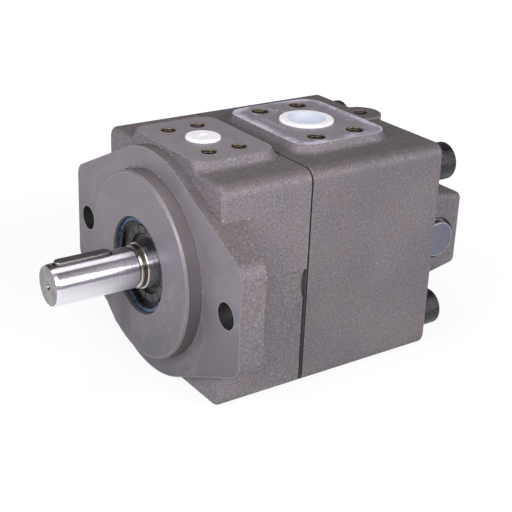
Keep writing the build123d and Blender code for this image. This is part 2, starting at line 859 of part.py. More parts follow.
with BuildPart() as shaft_retaining_ring:
    shaft_ring_inner = bearing_bore_radius - shaft_ring_depth + 0.05
    with BuildSketch(Plane.YZ.offset(shaft_groove_start)):
        Circle(shaft_ring_inner + shaft_ring_width)
        lug_spots = [
            on_circle(shaft_ring_inner + shaft_ring_width, 90 + side * (ring_opening_angle / 2 + 6))
            for side in (-1, 1)
        ]
        with Locations(*lug_spots):
            Circle(ring_lug_radius)
            Circle(ring_lug_hole_radius, mode=Mode.SUBTRACT)
        Circle(shaft_ring_inner, mode=Mode.SUBTRACT)
        with BuildLine():
            Polyline(
                (0, 0),
                on_circle(2 * shaft_ring_inner, 90 - ring_opening_angle / 2),
                on_circle(2 * shaft_ring_inner, 90 + ring_opening_angle / 2),
                close=True,
            )
        make_face(mode=Mode.SUBTRACT)
    extrude(amount=shaft_ring_thickness)
shaft_retaining_ring.part.label = "shaft_retaining_ring"

# ============================================================ front ball bearing
bearing_middle = bearing_start + bearing_width / 2
race_radius = ball_radius + race_conformity
with BuildPart() as bearing_outer_ring:
    ring(bearing_start, bearing_end, bearing_outer_land, bearing_outer_radius)
    chamfer(bearing_outer_ring.edges().filter_by(GeomType.CIRCLE), 0.4)
    turned_circle(
        bearing_middle,
        ball_pitch_radius + ball_clearance - race_conformity,
        race_radius,
        Mode.SUBTRACT,
    )
bearing_outer_ring.part.label = "bearing_outer_ring"

with BuildPart() as bearing_inner_ring:
    ring(bearing_start, bearing_end, bearing_bore_radius, bearing_inner_land)
    chamfer(bearing_inner_ring.edges().filter_by(GeomType.CIRCLE), 0.4)
    turned_circle(
        bearing_middle,
        ball_pitch_radius - ball_clearance + race_conformity,
        race_radius,
        Mode.SUBTRACT,
    )
bearing_inner_ring.part.label = "bearing_inner_ring"

with BuildPart() as bearing_balls:
    with Locations(Plane.YZ.offset(bearing_middle)):
        with PolarLocations(ball_pitch_radius, ball_count):
            Sphere(ball_radius)
bearing_balls.part.label = "bearing_balls"

with BuildPart() as bearing_cage:
    ring(
        bearing_middle - cage_width / 2,
        bearing_middle + cage_width / 2,
        cage_inner_radius,
        cage_outer_radius,
    )
    with Locations(Plane.YZ.offset(bearing_middle)):
        with PolarLocations(ball_pitch_radius, ball_count):
            Cylinder(
                ball_radius + race_conformity / 2,
                2 * (cage_outer_radius - cage_inner_radius),
                rotation=(0, 90, 0),
                mode=Mode.SUBTRACT,
            )
bearing_cage.part.label = "bearing_cage"

# ============================================================ side plates and cam ring
screw_angles = (90 + fastener_offset_angle, 270 + fastener_offset_angle)
dowel_angles = (90 - fastener_offset_angle, 270 - fastener_offset_angle)
cartridge_screw_spots = [on_circle(fastener_circle, angle) for angle in screw_angles]
dowel_spots = [on_circle(fastener_circle, angle) for angle in dowel_angles]
screw_head_seat = cartridge_end - cartridge_screw_sink - cartridge_screw_head_height
screw_point = cartridge_plate_end - cartridge_screw_engagement
under_vane_inner = under_vane_radius - under_vane_half_width
under_vane_outer = under_vane_radius + under_vane_half_width

with BuildPart() as front_side_plate:
    turned(
        [
            (hub_front, plate_bore_radius),
            (cartridge_plate_end, plate_bore_radius),
            (cartridge_plate_end, cartridge_radius),
            (cartridge_start, cartridge_radius),
            (cartridge_start, hub_radius),
            (hub_front, hub_radius),
        ]
    )
    ring(
        plate_seal_start,
        plate_seal_start + plate_seal_groove_width,
        cartridge_radius - plate_seal_depth,
        cartridge_radius + 1,
        Mode.SUBTRACT,
    )
    ring(
        hub_seal_start,
        hub_seal_start + hub_seal_groove_width,
        hub_radius - hub_seal_depth,
        hub_radius + 1,
        Mode.SUBTRACT,
    )
    ring(
        cartridge_plate_end - under_vane_depth,
        cartridge_plate_end + 1,
        under_vane_inner,
        under_vane_outer,
        Mode.SUBTRACT,
    )
    for angle in (suction_angle, suction_angle + 180):
        sector(
            cartridge_plate_end + 1,
            -suction_recess_depth - 1,
            kidney_inner_radius,
            cartridge_radius + 1,
            angle,
            kidney_half_angle,
        )
        sector(
            cartridge_plate_end + 1,
            -side_plate_thickness - 2,
            kidney_inner_radius,
            kidney_outer_radius,
            angle + 90,
            kidney_half_angle,
        )
    rods(
        cartridge_screw_spots,
        cartridge_screw_radius + thread_clearance,
        screw_point - 0.3,
        cartridge_plate_end + 1,
        Mode.SUBTRACT,
    )
    rods(
        dowel_spots,
        dowel_radius + dowel_clearance,
        cartridge_plate_end - dowel_depth,
        cartridge_plate_end + 1,
        Mode.SUBTRACT,
    )
front_side_plate.part.label = "front_side_plate"

with BuildPart() as cam_ring:
    with BuildSketch(Plane.YZ.offset(cartridge_plate_end)):
        Circle(cartridge_radius)
        with BuildLine():
            Spline(*[on_circle(cam_radius(angle), angle) for angle in range(0, 360, 5)], periodic=True)
        make_face(mode=Mode.SUBTRACT)
        with Locations(*cartridge_screw_spots):
            Circle(cartridge_screw_radius + hole_clearance, mode=Mode.SUBTRACT)
        with Locations(*dowel_spots):
            Circle(dowel_radius + dowel_clearance, mode=Mode.SUBTRACT)
    extrude(amount=cam_width)
cam_ring.part.label = "cam_ring"

with BuildPart() as rear_side_plate:
    ring(cam_end, cartridge_end, rear_plate_bore_radius, cartridge_radius)
    ring(cam_end - 1, cam_end + under_vane_depth, under_vane_inner, under_vane_outer, Mode.SUBTRACT)
    for angle in (suction_angle, suction_angle + 180):
        sector(
            cam_end - 1,
            suction_recess_depth + 1,
            kidney_inner_radius,
            cartridge_radius + 1,
            angle,
            kidney_half_angle,
        )
        sector(
            cam_end - 1,
            kidney_blind_depth + 1,
            kidney_inner_radius,
            kidney_outer_radius,
            angle + 90,
            kidney_half_angle,
        )
    rods(
        cartridge_screw_spots,
        cartridge_screw_radius + hole_clearance,
        cam_end - 1,
        cartridge_end + 1,
        Mode.SUBTRACT,
    )
    rods(
        cartridge_screw_spots,
        cartridge_screw_head_radius + hole_clearance,
        screw_head_seat,
        cartridge_end + 1,
        Mode.SUBTRACT,
    )
    rods(dowel_spots, dowel_radius + dowel_clearance, cam_end - 1, cam_end + dowel_depth, Mode.SUBTRACT)
rear_side_plate.part.label = "rear_side_plate"

with BuildPart() as cartridge_screws:
    rods(cartridge_screw_spots, cartridge_screw_radius, screw_point, screw_head_seat)
    rods(
        cartridge_screw_spots,
        cartridge_screw_head_radius,
        screw_head_seat,
        screw_head_seat + cartridge_screw_head_height,
    )
    with BuildSketch(Plane.YZ.offset(screw_head_seat + cartridge_screw_head_height)):
        with Locations(*cartridge_screw_spots):
            RegularPolygon(cartridge_socket_flats / 2, 6, major_radius=False)
    extrude(amount=-cartridge_screw_head_height / 2, mode=Mode.SUBTRACT)
cartridge_screws.part.label = "cartridge_screws"

with BuildPart() as cartridge_dowels:
    rods(dowel_spots, dowel_radius, cartridge_plate_end - dowel_depth + 0.2, cam_end + dowel_depth - 0.2)
    chamfer(cartridge_dowels.edges().filter_by(GeomType.CIRCLE), 0.4)
cartridge_dowels.part.label = "cartridge_dowels"

# ============================================================ rotor and vanes
vane_root = cam_minor_radius - vane_tip_clearance - vane_length
slot_floor_radius = vane_root - vane_root_space
slot_reach = rotor_radius + 1 - slot_floor_radius
with BuildPart() as rotor:
    with BuildSketch(Plane.YZ.offset(cartridge_plate_end + rotor_side_clearance)):
        Circle(rotor_radius)
        Circle(spline_root_radius + spline_clearance, mode=Mode.SUBTRACT)
        with PolarLocations((spline_root_radius + spline_tip_radius) / 2 - 0.5, spline_teeth):
            Rectangle(
                spline_tip_radius - spline_root_radius + 1 + 2 * spline_clearance,
                spline_tooth_width + 2 * spline_clearance,
                mode=Mode.SUBTRACT,
            )
        with PolarLocations(slot_floor_radius + slot_reach / 2, vane_count, start_angle=vane_first_angle):
            Rectangle(slot_reach, vane_thickness + 2 * vane_slot_clearance, mode=Mode.SUBTRACT)
        with PolarLocations(slot_floor_radius, vane_count, start_angle=vane_first_angle):
            Circle(vane_root_hole_radius, mode=Mode.SUBTRACT)
    extrude(amount=cam_width - 2 * rotor_side_clearance)
rotor.part.label = "rotor"

vanes = {}
for number in range(vane_count):
    turn = math.radians(vane_first_angle + number * 360 / vane_count)
    slot_plane = Plane(
        origin=(cartridge_plate_end + rotor_side_clearance, 0, 0),
        x_dir=(0, math.cos(turn), math.sin(turn)),
        z_dir=(1, 0, 0),
    )
    with BuildPart() as vane:
        with BuildSketch(slot_plane) as blade:
            with Locations((vane_root + vane_length / 2, 0)):
                Rectangle(vane_length, vane_thickness)
            fillet(blade.vertices().group_by(Axis.X)[-1], vane_tip_radius)
        extrude(amount=cam_width - 2 * rotor_side_clearance)
    node = f"vane_{number + 1:02d}"
    vane.part.label = node
    vanes[node] = vane

# ============================================================ O-rings and back-up rings
plate_groove_floor = cartridge_radius - plate_seal_depth
plate_section = (case_bore_radius - plate_groove_floor) / 2
with BuildPart() as plate_o_ring:
    turned_circle(plate_seal_start + 0.1 + plate_section, plate_groove_floor + plate_section, plate_section)
plate_o_ring.part.label = "plate_o_ring"

with BuildPart() as plate_backup_ring:
    ring(
        plate_seal_start + plate_seal_groove_width - 0.1 - backup_ring_thickness,
        plate_seal_start + plate_seal_groove_width - 0.1,
        plate_groove_floor,
        case_bore_radius,
    )
plate_backup_ring.part.label = "plate_backup_ring"

hub_groove_floor = hub_radius - hub_seal_depth
hub_section = (hub_bore_radius - hub_groove_floor) / 2
with BuildPart() as hub_o_ring:
    turned_circle(
        hub_seal_start + hub_seal_groove_width - 0.1 - hub_section,
        hub_groove_floor + hub_section,
        hub_section,
    )
hub_o_ring.part.label = "hub_o_ring"

with BuildPart() as hub_backup_ring:
    ring(
        hub_seal_start + 0.1,
        hub_seal_start + 0.1 + backup_ring_thickness,
        hub_groove_floor,
        hub_bore_radius,
    )
hub_backup_ring.part.label = "hub_backup_ring"

with BuildPart() as body_o_ring:
    turned_circle(
        front_length - joint_seal_depth / 2,
        joint_seal_inner_radius + joint_seal_groove_width / 2,
        joint_seal_depth / 2,
    )
body_o_ring.part.label = "body_o_ring"

# ============================================================ rear needle bearing
needle_shell_inner = needle_pitch_radius + needle_radius + needle_clearance
needle_middle = (needle_start + needle_end) / 2
with BuildPart() as needle_cup:
    ring(needle_start, needle_end, needle_pitch_radius - 0.6, needle_shell_radius)
    ring(
        needle_start + needle_lip_wall,
        needle_end - needle_lip_wall,
        needle_pitch_radius - 1,
        needle_shell_inner,
        Mode.SUBTRACT,
    )
needle_cup.part.label = "needle_cup"

with BuildPart() as needle_cage:
    ring(
        needle_start + needle_lip_wall + 0.2,
        needle_end - needle_lip_wall - 0.2,
        needle_pitch_radius - needle_cage_half_wall,
        needle_pitch_radius + needle_cage_half_wall,
    )
    with Locations(Plane.YZ.offset(needle_middle)):
        with PolarLocations(needle_pitch_radius, needle_count):
            Box(
                4 * needle_cage_half_wall,
                2 * (needle_radius + needle_window_clearance),
                needle_length + 2 * needle_window_clearance,
                mode=Mode.SUBTRACT,
            )
needle_cage.part.label = "needle_cage"

with BuildPart() as needles:
    with BuildSketch(Plane.YZ.offset(needle_middle - needle_length / 2)):
        with PolarLocations(needle_pitch_radius, needle_count):
            Circle(needle_radius)
    extrude(amount=needle_length)
needles.part.label = "needles"

# ============================================================ gallery plug
with BuildPart() as gallery_plug:
    with BuildSketch(Plane.XZ.offset(plug_spotface_y - plug_thread_length)):
        with Locations((gallery_x, gallery_z)):
            Circle(plug_thread_radius)
    extrude(amount=plug_thread_length + washer_thickness)
    with BuildSketch(Plane.XZ.offset(plug_spotface_y + washer_thickness)):
        with Locations((gallery_x, gallery_z)):
            Circle(plug_head_radius)
    extrude(amount=plug_head_thickness)
    chamfer(gallery_plug.faces().sort_by(Axis.Y)[0].edges(), 0.5)
gallery_plug.part.label = "gallery_plug"

with BuildPart() as plug_washer:
    with BuildSketch(Plane.XZ.offset(plug_spotface_y)):
        with Locations((gallery_x, gallery_z)):
            Circle(plug_head_radius + 0.4)
            Circle(plug_thread_radius + hole_clearance, mode=Mode.SUBTRACT)
    extrude(amount=washer_thickness)
plug_washer.part.label = "plug_washer"

# ============================================================ port closure plugs
with BuildPart() as discharge_port_plug:
    with BuildSketch(Plane.XY.offset(port_face_height)):
        with Locations((discharge_x, 0)):
            Circle(discharge_cap_radius)
    extrude(amount=discharge_cap_thickness)
    fillet(discharge_port_plug.faces().sort_by(Axis.Z)[-1].edges(), 0.8)
    with BuildSketch(Plane.XY.offset(port_face_height)):
        with Locations((discharge_x, 0)):
            Circle(discharge_bore_radius - cap_bore_clearance)
    extrude(amount=-discharge_cap_skirt)
    with BuildSketch(Plane.XY.offset(port_face_height - discharge_cap_skirt)):
        with Locations((discharge_x, 0)):
            Circle(discharge_bore_radius - cap_bore_clearance - cap_wall)
    extrude(amount=discharge_cap_skirt, mode=Mode.SUBTRACT)
    with BuildSketch(Plane.XY.offset(port_face_height + discharge_cap_thickness)):
        with Locations((discharge_x, 0)):
            Circle(cap_dimple_radius)
    extrude(amount=-cap_dimple_depth, taper=60, mode=Mode.SUBTRACT)
discharge_port_plug.part.label = "discharge_port_plug"

with BuildPart() as suction_port_plug:
    with BuildSketch(Plane.XY.offset(port_face_height)):
        with Locations((suction_x, 0)):
            Circle(suction_cap_radius)
    extrude(amount=suction_cap_thickness)
    fillet(suction_port_plug.faces().sort_by(Axis.Z)[-1].edges(), 0.7)
    with BuildSketch(Plane.XY.offset(port_face_height)):
        with Locations((suction_x, 0)):
            Circle(suction_bore_radius - cap_bore_clearance)
    extrude(amount=-suction_cap_skirt)
    with BuildSketch(Plane.XY.offset(port_face_height + suction_cap_thickness)):
        with Locations((suction_x, 0)):
            Circle(suction_cap_opening)
    extrude(
        amount=-(suction_cap_thickness + suction_cap_skirt - suction_cap_floor),
        mode=Mode.SUBTRACT,
    )
suction_port_plug.part.label = "suction_port_plug"

# ============================================================ one STEP file for each piece
os.makedirs("parts", exist_ok=True)
pieces = {
    "front_body": front_body,
    "rear_body": rear_body,
    "cap_screws": cap_screws,
    "drive_shaft": drive_shaft,
    "shaft_key": shaft_key,
    "oil_seal": oil_seal,
    "seal_case": seal_case,
    "seal_spring": seal_spring,
    "bearing_retaining_ring": bearing_retaining_ring,
    "shaft_retaining_ring": shaft_retaining_ring,
    "bearing_outer_ring": bearing_outer_ring,
    "bearing_inner_ring": bearing_inner_ring,
    "bearing_balls": bearing_balls,
    "bearing_cage": bearing_cage,
    "front_side_plate": front_side_plate,
    "cam_ring": cam_ring,
    "rear_side_plate": rear_side_plate,
    "cartridge_screws": cartridge_screws,
    "cartridge_dowels": cartridge_dowels,
    "rotor": rotor,
    "plate_o_ring": plate_o_ring,
    "plate_backup_ring": plate_backup_ring,
    "hub_o_ring": hub_o_ring,
    "hub_backup_ring": hub_backup_ring,
    "body_o_ring": body_o_ring,
    "needle_cup": needle_cup,
    "needle_cage": needle_cage,
    "needles": needles,
    "gallery_plug": gallery_plug,
    "plug_washer": plug_washer,
    "discharge_port_plug": discharge_port_plug,
    "suction_port_plug": suction_port_plug,
}
pieces.update(vanes)
for node, piece in pieces.items():
    export_step(piece.part, f"parts/{node}.step")
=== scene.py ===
import json
import math

import bpy
from mathutils import Matrix, Vector

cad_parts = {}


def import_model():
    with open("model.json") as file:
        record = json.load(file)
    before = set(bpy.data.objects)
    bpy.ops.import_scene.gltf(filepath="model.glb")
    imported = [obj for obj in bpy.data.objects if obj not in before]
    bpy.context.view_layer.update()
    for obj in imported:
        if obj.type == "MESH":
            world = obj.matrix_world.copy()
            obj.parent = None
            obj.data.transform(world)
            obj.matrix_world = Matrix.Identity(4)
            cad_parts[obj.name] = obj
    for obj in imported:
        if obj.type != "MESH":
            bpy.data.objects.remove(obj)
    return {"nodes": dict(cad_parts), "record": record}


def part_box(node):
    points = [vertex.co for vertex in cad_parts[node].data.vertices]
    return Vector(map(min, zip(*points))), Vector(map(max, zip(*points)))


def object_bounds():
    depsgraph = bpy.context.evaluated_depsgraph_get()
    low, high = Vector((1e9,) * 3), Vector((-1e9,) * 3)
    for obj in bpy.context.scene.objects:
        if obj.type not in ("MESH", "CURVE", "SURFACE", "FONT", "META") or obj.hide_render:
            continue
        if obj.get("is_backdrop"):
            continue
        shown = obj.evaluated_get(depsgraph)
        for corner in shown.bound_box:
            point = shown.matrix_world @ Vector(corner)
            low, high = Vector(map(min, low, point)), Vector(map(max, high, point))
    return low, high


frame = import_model()
nodes = frame["nodes"]
cad_low, cad_high = (tuple(corner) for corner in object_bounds())
MM = 0.001


# ---------------------------------------------------------------- shader helpers
class Shader:
    """One material with short ways to add nodes to its tree."""

    def __init__(self, name, roughness, metallic=0.0):
        self.material = bpy.data.materials.new(name)
        self.material.use_nodes = True
        self.tree = self.material.node_tree
        self.tree.nodes.clear()
        self.surface = self.tree.nodes.new("ShaderNodeBsdfPrincipled")
        output = self.tree.nodes.new("ShaderNodeOutputMaterial")
        self.link(self.surface.outputs[0], output.inputs[0])
        self.surface.inputs["Roughness"].default_value = roughness
        self.surface.inputs["Metallic"].default_value = metallic
        self.place = self.node("ShaderNodeTexCoord").outputs["Object"]
        self.split = None
        self.normal = None

    def node(self, kind, **settings):
        made = self.tree.nodes.new(kind)
        for key, value in settings.items():
            setattr(made, key, value)
        return made

    def link(self, source, target):
        self.tree.links.new(source, target)

    def feed(self, target, value):
        if isinstance(value, bpy.types.NodeSocket):
            self.link(value, target)
        else:
            target.default_value = value

    def axis(self, letter):
        if self.split is None:
            self.split = self.node("ShaderNodeSeparateXYZ")
            self.link(self.place, self.split.inputs[0])
        return self.split.outputs[letter]

    def math(self, operation, a, b=0.0):
        made = self.node("ShaderNodeMath", operation=operation)
        for socket, value in zip(made.inputs, (a, b)):
            self.feed(socket, value)
        return made.outputs[0]

    def ramp(self, value, low, high, to_low=0.0, to_high=1.0):
        made = self.node("ShaderNodeMapRange", interpolation_type="SMOOTHSTEP")
        for socket, number in zip(made.inputs, (value, low, high, to_low, to_high)):
            self.feed(socket, number)
        return made.outputs[0]

    def band(self, value, low, high, fade):
        """1 between low and high and 0 outside, with both ends fading inwards."""
        rise = self.ramp(value, low, low + fade)
        fall = self.ramp(value, high - fade, high, 1.0, 0.0)
        return self.math("MULTIPLY", rise, fall)

    def rings(self, value, pitch):
        """A wave from -1 to 1 that repeats at every pitch of the value."""
        return self.math("SINE", self.math("MULTIPLY", value, 2 * math.pi / pitch))

    def stretched(self, scale):
        made = self.node("ShaderNodeMapping")
        self.link(self.place, made.inputs["Vector"])
        made.inputs["Scale"].default_value = scale
        return made.outputs[0]

    def noise(self, scale, detail=3.0, rough=0.55, vector=None, distortion=0.0):
        made = self.node("ShaderNodeTexNoise")
        self.link(vector or self.place, made.inputs["Vector"])
        made.inputs["Scale"].default_value = scale
        made.inputs["Detail"].default_value = detail
        made.inputs["Roughness"].default_value = rough
        made.inputs["Distortion"].default_value = distortion
        return made.outputs["Fac"]

    def cells(self, scale):
        made = self.node("ShaderNodeTexVoronoi", feature="F1")
        self.link(self.place, made.inputs["Vector"])
        made.inputs["Scale"].default_value = scale
        return made.outputs["Distance"]

    def mix(self, factor, first, second):
        made = self.node("ShaderNodeMix", data_type="RGBA")
        self.feed(made.inputs[0], factor)
        for socket, value in ((made.inputs[6], first), (made.inputs[7], second)):
            self.feed(socket, value if isinstance(value, bpy.types.NodeSocket) else (*value, 1))
        return made.outputs[2]

    def colour(self, source):
        self.link(source, self.surface.inputs["Base Color"])

    def rough(self, source):
        self.link(source, self.surface.inputs["Roughness"])

    def soft_edges(self, radius):
        self.normal = self.node("ShaderNodeBevel", samples=4)
        self.normal.inputs["Radius"].default_value = radius
        self.link(self.normal.outputs[0], self.surface.inputs["Normal"])

    def edge_mask(self, radius, low=0.004, high=0.06):
        """Close to 1 on edges and 0 on open faces."""
        bent = self.node("ShaderNodeBevel", samples=4)
        bent.inputs["Radius"].default_value = radius
        true = self.node("ShaderNodeNewGeometry").outputs["Normal"]
        dot = self.node("ShaderNodeVectorMath", operation="DOT_PRODUCT")
        self.link(bent.outputs[0], dot.inputs[0])
        self.link(true, dot.inputs[1])
        return self.ramp(self.math("SUBTRACT", 1.0, dot.outputs["Value"]), low, high)

    def facing(self, letter):
        """How far the surface faces along one axis, from -1 to 1."""
        made = self.node("ShaderNodeSeparateXYZ")
        self.link(self.node("ShaderNodeNewGeometry").outputs["Normal"], made.inputs[0])
        return made.outputs[letter]

    def bump(self, height, distance, strength=1.0):
        made = self.node("ShaderNodeBump")
        made.inputs["Distance"].default_value = distance
        made.inputs["Strength"].default_value = strength
        self.link(height, made.inputs["Height"])
        if self.normal is not None:
            self.link(self.normal.outputs[0], made.inputs["Normal"])
        self.link(made.outputs[0], self.surface.inputs["Normal"])
        self.normal = made

    def length(self, a, b):
        squares = self.math("MULTIPLY", a, a), self.math("MULTIPLY", b, b)
        return self.math("SQRT", self.math("ADD", *squares))

    def radius_about_x(self):
        return self.length(self.axis("Y"), self.axis("Z"))


# ---------------------------------------------------------------- materials
def cast_iron(name, painted_light_level=1.0):
    """Fine sand-cast skin with a thin film of rust preventive oil, with painted shade on faces that look up
    and painted highlights on its edges.
    """
    s = Shader(name, 0.5, 0.15)
    blotches = s.noise(22, 4, 0.6)
    cloud = s.noise(90, 3, 0.5)
    grain = s.noise(860, 4, 0.8)
    coarse = s.noise(380, 3, 0.6)
    pits = s.cells(480)
    edge_highlight = s.edge_mask(3.5 * MM, 0.01, 0.2)
    base = s.mix(s.ramp(blotches, 0.35, 0.65), (0.21, 0.19, 0.214), (0.252, 0.225, 0.238))
    base = s.mix(s.ramp(cloud, 0.45, 0.75, 0, 0.5), base, (0.235, 0.202, 0.192))
    # Painted shade: faces that look up are darkened towards a dark brown.
    base = s.mix(s.ramp(s.facing("Z"), 0.2, 0.95, 0.0, 0.6), base, (0.115, 0.098, 0.095))
    # Painted highlights: pale glints and a warm, paler band on the cast edges.
    sparkle = s.ramp(s.cells(330), 0.14, 0.28, 1.0, 0.0)
    base = s.mix(s.math("MULTIPLY", edge_highlight, s.math("MULTIPLY", sparkle, 0.8)), base, (0.75, 0.7, 0.7))
    base = s.mix(s.math("MULTIPLY", edge_highlight, 0.3), base, (0.33, 0.285, 0.26))
    base = s.mix(s.ramp(grain, 0.3, 0.6, 0.7, 0.0), base, (0.075, 0.066, 0.07))
    base = s.mix(s.ramp(grain, 0.57, 0.7, 0.0, 0.6), base, (0.52, 0.48, 0.5))
    base = s.mix(s.ramp(pits, 0.02, 0.16, 0.4, 0.0), base, (0.06, 0.055, 0.06))
    # A level below 1 darkens this whole copy of the skin: painted shade.
    base = s.mix(1.0 - painted_light_level, base, (0.02, 0.02, 0.02))
    s.colour(base)
    s.rough(s.ramp(coarse, 0.3, 0.7, 0.46, 0.66))
    s.soft_edges(0.7 * MM)
    height = s.math("ADD", s.math("MULTIPLY", grain, 0.75), s.math("MULTIPLY", coarse, 0.25))
    height = s.math("ADD", height, s.math("MULTIPLY", s.ramp(pits, 0.0, 0.3), 0.3))
    s.bump(height, 0.28 * MM, 0.85)
    return s.material


def machined_iron(name):
    """Turned and faced cast iron: the flange face, the pilot and the flat joint faces."""
    turning_pitch = 0.45 * MM
    dark_foot, pale_top, ragged_by = -50 * MM, 46 * MM, 30 * MM
    s = Shader(name, 0.42, 0.25)
    cloud = s.noise(35, 3, 0.55)
    edge_highlight = s.edge_mask(0.9 * MM)
    fine = s.noise(1500, 3, 0.7)
    rings = s.rings(s.radius_about_x(), turning_pitch)
    base = s.mix(s.ramp(cloud, 0.35, 0.65), (0.21, 0.192, 0.217), (0.252, 0.23, 0.255))
    # Painted shade: darker towards the foot of the part and paler towards the top, with a ragged boundary.
    height = s.math("ADD", s.axis("Z"), s.math("MULTIPLY", s.noise(26, 4, 0.6), ragged_by))
    base = s.mix(s.ramp(height, dark_foot, pale_top, 0.72, 0.0), base, (0.075, 0.07, 0.086))
    smears = s.ramp(s.noise(30, 5, 0.7, distortion=1.2), 0.48, 0.62, 0.0, 0.22)
    base = s.mix(smears, base, (0.34, 0.31, 0.33))
    # Painted shade: faces that do not look along X, such as the pilot's rim, are browner and darker.
    sideways_shade = s.ramp(s.math("ABSOLUTE", s.facing("X")), 0.3, 0.8, 0.6, 0.0)
    base = s.mix(sideways_shade, base, (0.175, 0.15, 0.14))
    # Painted highlight: paler on the machined edges.
    base = s.mix(s.math("MULTIPLY", edge_highlight, 0.75), base, (0.5, 0.45, 0.42))
    base = s.mix(s.ramp(fine, 0.3, 0.7, 0.12, 0.0), base, (0.1, 0.09, 0.1))
    s.colour(base)
    s.rough(s.ramp(cloud, 0.3, 0.7, 0.42, 0.58))
    s.soft_edges(0.35 * MM)
    s.bump(s.math("ADD", s.math("MULTIPLY", rings, 0.25), fine), 0.02 * MM, 0.5)
    return s.material


def milled_pad(name, base_colour, wear_and_highlight_colour, centre, half_size, corner, wear_width, wear_strength):
    """Milled port face: a rounded rectangle with scuffed, paler edges and a painted highlight along its rim.
    """
    s = Shader(name, 0.5, 0.15)
    x = s.math("ABSOLUTE", s.math("SUBTRACT", s.axis("X"), centre[0]))
    y = s.math("ABSOLUTE", s.math("SUBTRACT", s.axis("Y"), centre[1]))
    qx = s.math("MAXIMUM", s.math("SUBTRACT", x, half_size[0] - corner), 0.0)
    qy = s.math("MAXIMUM", s.math("SUBTRACT", y, half_size[1] - corner), 0.0)
    inside = s.math("SUBTRACT", corner, s.length(qx, qy))
    ragged = s.math("MULTIPLY", s.noise(95, 5, 0.65, distortion=0.6), wear_width)
    wear = s.ramp(s.math("SUBTRACT", inside, ragged), -0.35 * wear_width, 0.28 * wear_width, 1.0, 0.0)
    streak = s.noise(60, 4, 0.7, vector=s.stretched((9.0, 1.0, 1.0)))
    scratches = s.ramp(s.noise(150, 3, 0.6, vector=s.stretched((1.0, 12.0, 1.0))), 0.62, 0.72)
    fine = s.noise(900, 3, 0.7)
    base = s.mix(s.ramp(streak, 0.3, 0.7, 0.0, 0.55), base_colour, tuple(1.35 * v for v in base_colour))
    base = s.mix(s.math("MULTIPLY", scratches, 0.35), base, wear_and_highlight_colour)
    patches = s.ramp(s.noise(48, 4, 0.7, distortion=0.8), 0.42, 0.58, 0.15, 1.0)
    scuffs = s.ramp(s.noise(70, 5, 0.75, vector=s.stretched((5.0, 1.0, 1.0))), 0.54, 0.68, 0.0, 0.7)
    # Painted highlight: a thin pale line along the whole rim of the pad, joined with the wear and scuffs in
    # one mask.
    rim = s.ramp(inside, 0.2 * MM, 1.1 * MM, 1.0, 0.0)
    wear_and_highlight = s.math("MAXIMUM", s.math("MULTIPLY", wear, patches), s.math("MAXIMUM", scuffs, rim))
    base = s.mix(s.math("MULTIPLY", wear_and_highlight, wear_strength), base, wear_and_highlight_colour)
    base = s.mix(s.ramp(fine, 0.3, 0.6, 0.25, 0.0), base, tuple(0.5 * v for v in base_colour))
    s.colour(base)
    s.rough(s.ramp(streak, 0.3, 0.7, 0.44, 0.6))
    s.soft_edges(0.4 * MM)
    s.bump(s.math("ADD", fine, s.math("MULTIPLY", scratches, -0.6)), 0.03 * MM, 0.6)
    return s.material


def tapped_iron(name):
    """Cut threads: darker, with a warm brassy shine of cutting oil on the crests and painted shade in the
    roots.
    """
    thread_pitch = 1.25 * MM
    s = Shader(name, 0.36, 0.7)
    turns = s.rings(s.axis("Z"), thread_pitch)
    # Painted shade: the roots of the turns are near black, the crests warm and brassy.
    s.colour(s.mix(s.ramp(turns, -0.6, 0.9), (0.02, 0.016, 0.013), (0.2, 0.16, 0.115)))
    s.bump(turns, 0.3 * MM, 0.8)
    return s.material


def bored_iron(name, shade=0.07):
    """Bored or drilled cast iron, painted darker than the faced surfaces as the shade inside the bores."""
    s = Shader(name, 0.6, 0.1)
    fine = s.noise(700, 3, 0.6)
    s.colour(s.mix(s.ramp(fine, 0.3, 0.7), (shade * 0.8,) * 3, (shade * 1.25,) * 3))
    s.bump(fine, 0.03 * MM, 0.5)
    return s.material


def joint_line(name):
    """The chamfers that draw the line of the body joint, painted near black as the shade in its groove."""
    s = Shader(name, 0.7)
    s.colour(s.mix(s.ramp(s.noise(400, 3), 0.4, 0.7), (0.002, 0.002, 0.002), (0.008, 0.007, 0.007)))
    return s.material


def polished_shaft(name):
    """Ground and polished steel with faint grinding lines, a groove painted dark as shade and a collar
    painted brown as a reflection.
    """
    groove_ends = -12.5 * MM, -11.5 * MM
    collar_ends = -11.2 * MM, -8.1 * MM
    s = Shader(name, 0.13, 1.0)
    s.surface.inputs["Anisotropic"].default_value = 0.96
    s.surface.inputs["Anisotropic Rotation"].default_value = 0.25
    around = s.node("ShaderNodeTangent", direction_type="RADIAL", axis="X")
    s.link(around.outputs[0], s.surface.inputs["Tangent"])
    lines = s.noise(60, 3, 0.7, vector=s.stretched((60.0, 1.0, 1.0)))
    steel = s.mix(s.ramp(lines, 0.3, 0.7), (0.82, 0.795, 0.85), (0.88, 0.86, 0.92))
    x = s.axis("X")
    groove = s.band(x, *groove_ends, 0.1 * MM)
    collar = s.band(x, *collar_ends, 0.2 * MM)
    # Painted shade in the groove and a painted brown reflection on the collar.
    s.colour(s.mix(groove, s.mix(collar, steel, (0.3, 0.25, 0.2)), (0.05, 0.045, 0.04)))
    s.rough(s.ramp(lines, 0.3, 0.7, 0.27, 0.31))
    return s.material


